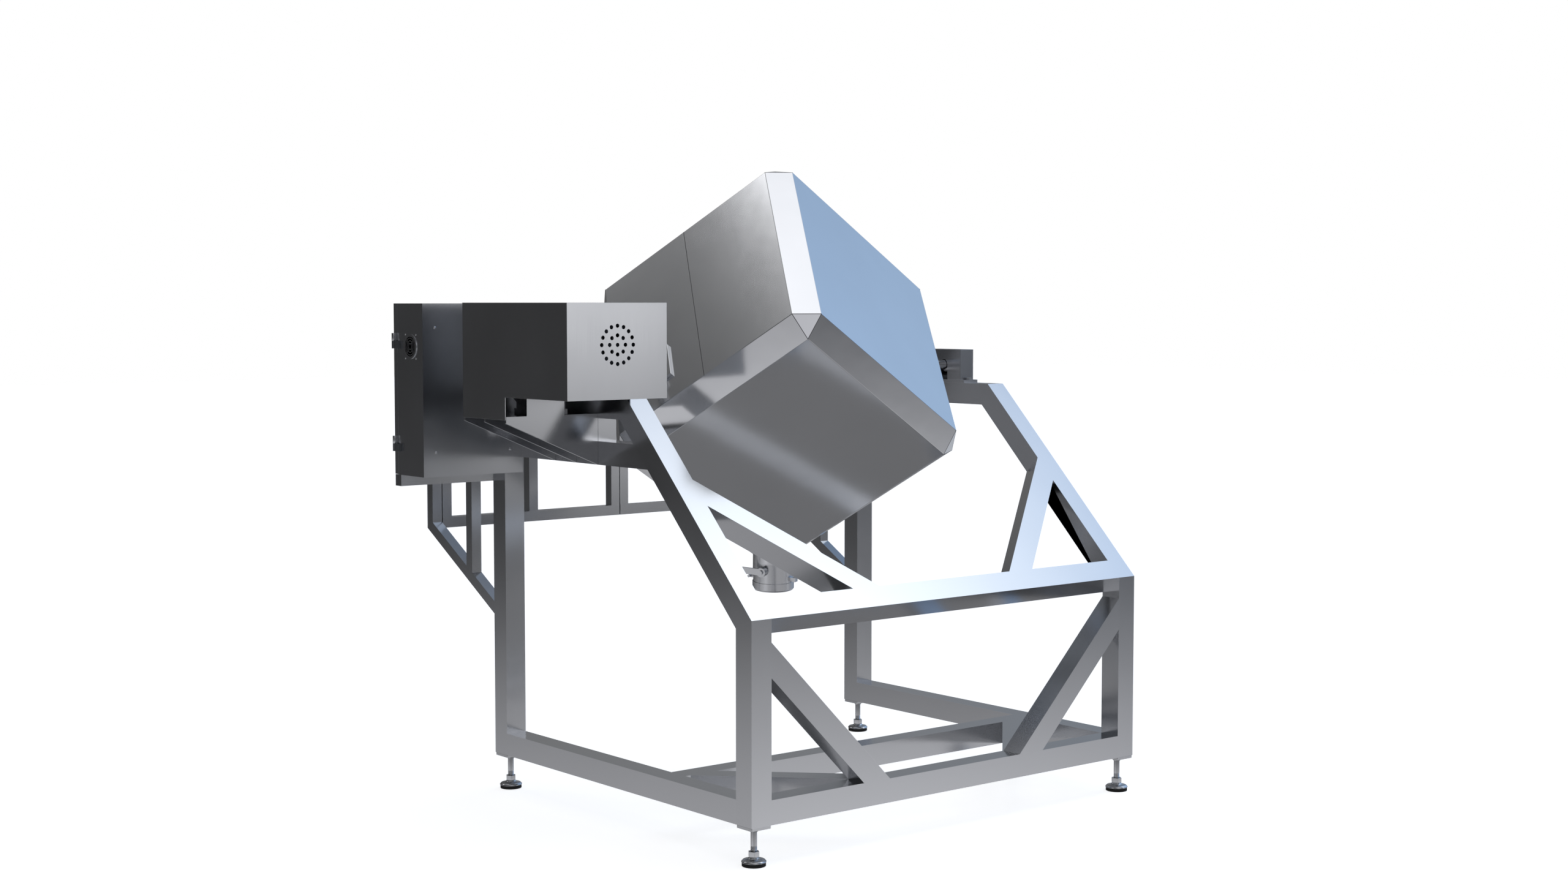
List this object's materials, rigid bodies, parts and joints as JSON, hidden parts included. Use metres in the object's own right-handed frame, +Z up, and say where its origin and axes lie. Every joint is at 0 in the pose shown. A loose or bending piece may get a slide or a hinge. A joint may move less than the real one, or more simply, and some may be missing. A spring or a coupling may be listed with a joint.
{
  "type": "cube mixer",
  "caption": "Stainless cube mixer: a chamfered cube drum on a skewed shaft in a welded stand, with worm drive, hatch, butterfly valve, control cabinet and guard gate.",
  "frame": {"origin": "on the floor under the front left foot", "axes": "+Z up, +X along the drum shaft away from the drive, +Y from the sloped front to the guard gate"},
  "size_m": [1.6375, 1.5324, 1.6876],
  "materials": {
    "frame_tube": "satin, lengthwise grain",
    "drum_sheet": "fine satin",
    "cover_sheet": "satin",
    "turned_steel": "turned",
    "bearing_steel": "ground",
    "bearing_iron": "cast",
    "gear_alloy": "cast",
    "bronze": "machined",
    "motor_paint": "semi-gloss",
    "rotor_iron": "laminated",
    "fan_plastic": "matt",
    "black_rubber": "matt",
    "white_rubber": "matt",
    "device_plastic": "matt",
    "black_plastic": "gloss",
    "red_plastic": "gloss",
    "green_plastic": "gloss"
  },
  "bodies": {
    "stand": {"frame_left_side": "frame_tube", "frame_right_side": "frame_tube", "frame_front": "frame_tube", "frame_slope": "frame_tube", "frame_base": "frame_tube", "bracket_left": "frame_tube", "bracket_right": "frame_tube", "post_caps": "turned_steel", "foot_stems": "turned_steel", "foot_nuts": "turned_steel", "foot_bases": "turned_steel", "foot_pads": "black_rubber", "drive_bracket": "cover_sheet", "drive_cover": "cover_sheet", "gearbox_housing": "gear_alloy", "gearbox_covers": "gear_alloy", "motor_housing": "motor_paint", "motor_cowl": "motor_paint", "bearing_plates": "turned_steel", "bearing_blocks": "bearing_iron", "bearing_outer_rings": "bearing_steel", "bearing_cover": "cover_sheet", "gate_hinges": "turned_steel", "cabinet_body": "cover_sheet", "cabinet_hinges": "cover_sheet", "cabinet_plate": "device_plastic"},
    "drum": {"drum_panels": "drum_sheet", "drum_hatch_panel": "drum_sheet", "drum_edge_strips": "drum_sheet", "drum_corner_plates": "drum_sheet", "hub_pads": "drum_sheet", "trunnion_left": "turned_steel", "trunnion_right": "turned_steel", "bearing_inner_rings": "bearing_steel", "worm_wheel": "bronze", "hatch_neck": "drum_sheet", "hatch_gasket": "white_rubber", "hatch_hinge": "drum_sheet", "outlet_pipe": "drum_sheet", "valve_body": "turned_steel", "valve_seat": "white_rubber", "outlet_ferrule": "turned_steel", "outlet_clamp": "turned_steel"},
    "drive_rotor": {"worm_shaft": "turned_steel", "motor_rotor": "rotor_iron", "motor_fan": "fan_plastic"},
    "hatch_lid": {"hatch_lid": "drum_sheet"},
    "hatch_clamp_left": {"hatch_clamp_left": "drum_sheet"},
    "hatch_clamp_right": {"hatch_clamp_right": "drum_sheet"},
    "outlet_valve": {"valve_disc": "turned_steel", "valve_handle": "turned_steel"},
    "gate_left": {"gate_leaf_left": "frame_tube"},
    "gate_right": {"gate_leaf_right": "frame_tube"},
    "gate_bolt": {"gate_bolt": "turned_steel"},
    "cabinet_door": {"cabinet_door": "cover_sheet"},
    "door_lock": {"door_lock": "black_plastic"},
    "main_switch": {"main_switch": "black_plastic"},
    "emergency_stop": {"emergency_stop": "red_plastic"},
    "start_button": {"start_button": "green_plastic"},
    "stop_button": {"stop_button": "red_plastic"}
  },
  "joints": [
    {"name": "drum_spin", "type": "hinge", "parent": "stand", "child": "drum", "pos_m": [0.603, 0.6635, 1.1499], "axis": [1, 0, 0], "continuous": true},
    {"name": "motor_spin", "type": "hinge", "parent": "stand", "child": "drive_rotor", "pos_m": [-0.16, 0.6635, 1.2299], "axis": [0, 1, 0], "continuous": true},
    {"name": "hatch_lid_hinge", "type": "hinge", "parent": "drum", "child": "hatch_lid", "pos_m": [0.67133, 0.78413, 1.58221], "axis": [0.865, -0.5017, 0.0033], "range_deg": [0, 100]},
    {"name": "hatch_clamp_left_swing", "type": "hinge", "parent": "drum", "child": "hatch_clamp_left", "pos_m": [0.95539, 0.8629, 1.2927], "axis": [0.1487, -0.7359, 0.6606], "range_deg": [0, 90]},
    {"name": "hatch_clamp_right_swing", "type": "hinge", "parent": "drum", "child": "hatch_clamp_right", "pos_m": [0.60031, 1.06886, 1.29135], "axis": [0.7163, 0.2341, -0.6573], "range_deg": [0, 90]},
    {"name": "valve_turn", "type": "hinge", "parent": "drum", "child": "outlet_valve", "pos_m": [0.6299, 0.70624, 0.59439], "axis": [-0.9067, -0.4148, -0.0758], "range_deg": [0, 90]},
    {"name": "gate_left_swing", "type": "hinge", "parent": "stand", "child": "gate_left", "pos_m": [0.00125, 1.472, 0.986], "axis": [0, 0, 1], "range_deg": [0, 110]},
    {"name": "gate_right_swing", "type": "hinge", "parent": "stand", "child": "gate_right", "pos_m": [1.23475, 1.472, 0.986], "axis": [0, 0, -1], "range_deg": [0, 110]},
    {"name": "gate_bolt_slide", "type": "slide", "parent": "gate_left", "child": "gate_bolt", "axis": [1, 0, 0], "range_m": [0, 0.02]},
    {"name": "cabinet_door_swing", "type": "hinge", "parent": "stand", "child": "cabinet_door", "pos_m": [-0.336, 1.097, 1.1], "axis": [0, 0, 1], "range_deg": [0, 120]},
    {"name": "door_lock_turn", "type": "hinge", "parent": "cabinet_door", "child": "door_lock", "pos_m": [-0.055, 1.106, 1.104], "axis": [0, 1, 0], "range_deg": [0, 90]},
    {"name": "main_switch_turn", "type": "hinge", "parent": "cabinet_door", "child": "main_switch", "pos_m": [-0.24, 1.106, 1.259], "axis": [0, 1, 0], "range_deg": [0, 90]},
    {"name": "emergency_stop_push", "type": "slide", "parent": "cabinet_door", "child": "emergency_stop", "axis": [0, -1, 0], "range_m": [0, 0.005]},
    {"name": "start_button_push", "type": "slide", "parent": "cabinet_door", "child": "start_button", "axis": [0, -1, 0], "range_m": [0, 0.003], "stiffness_N_per_m": 300},
    {"name": "stop_button_push", "type": "slide", "parent": "cabinet_door", "child": "stop_button", "axis": [0, -1, 0], "range_m": [0, 0.003], "stiffness_N_per_m": 300}
  ],
  "couplings": [
    {"joint": "motor_spin", "follows": "drum_spin", "ratio": -30}
  ]
}
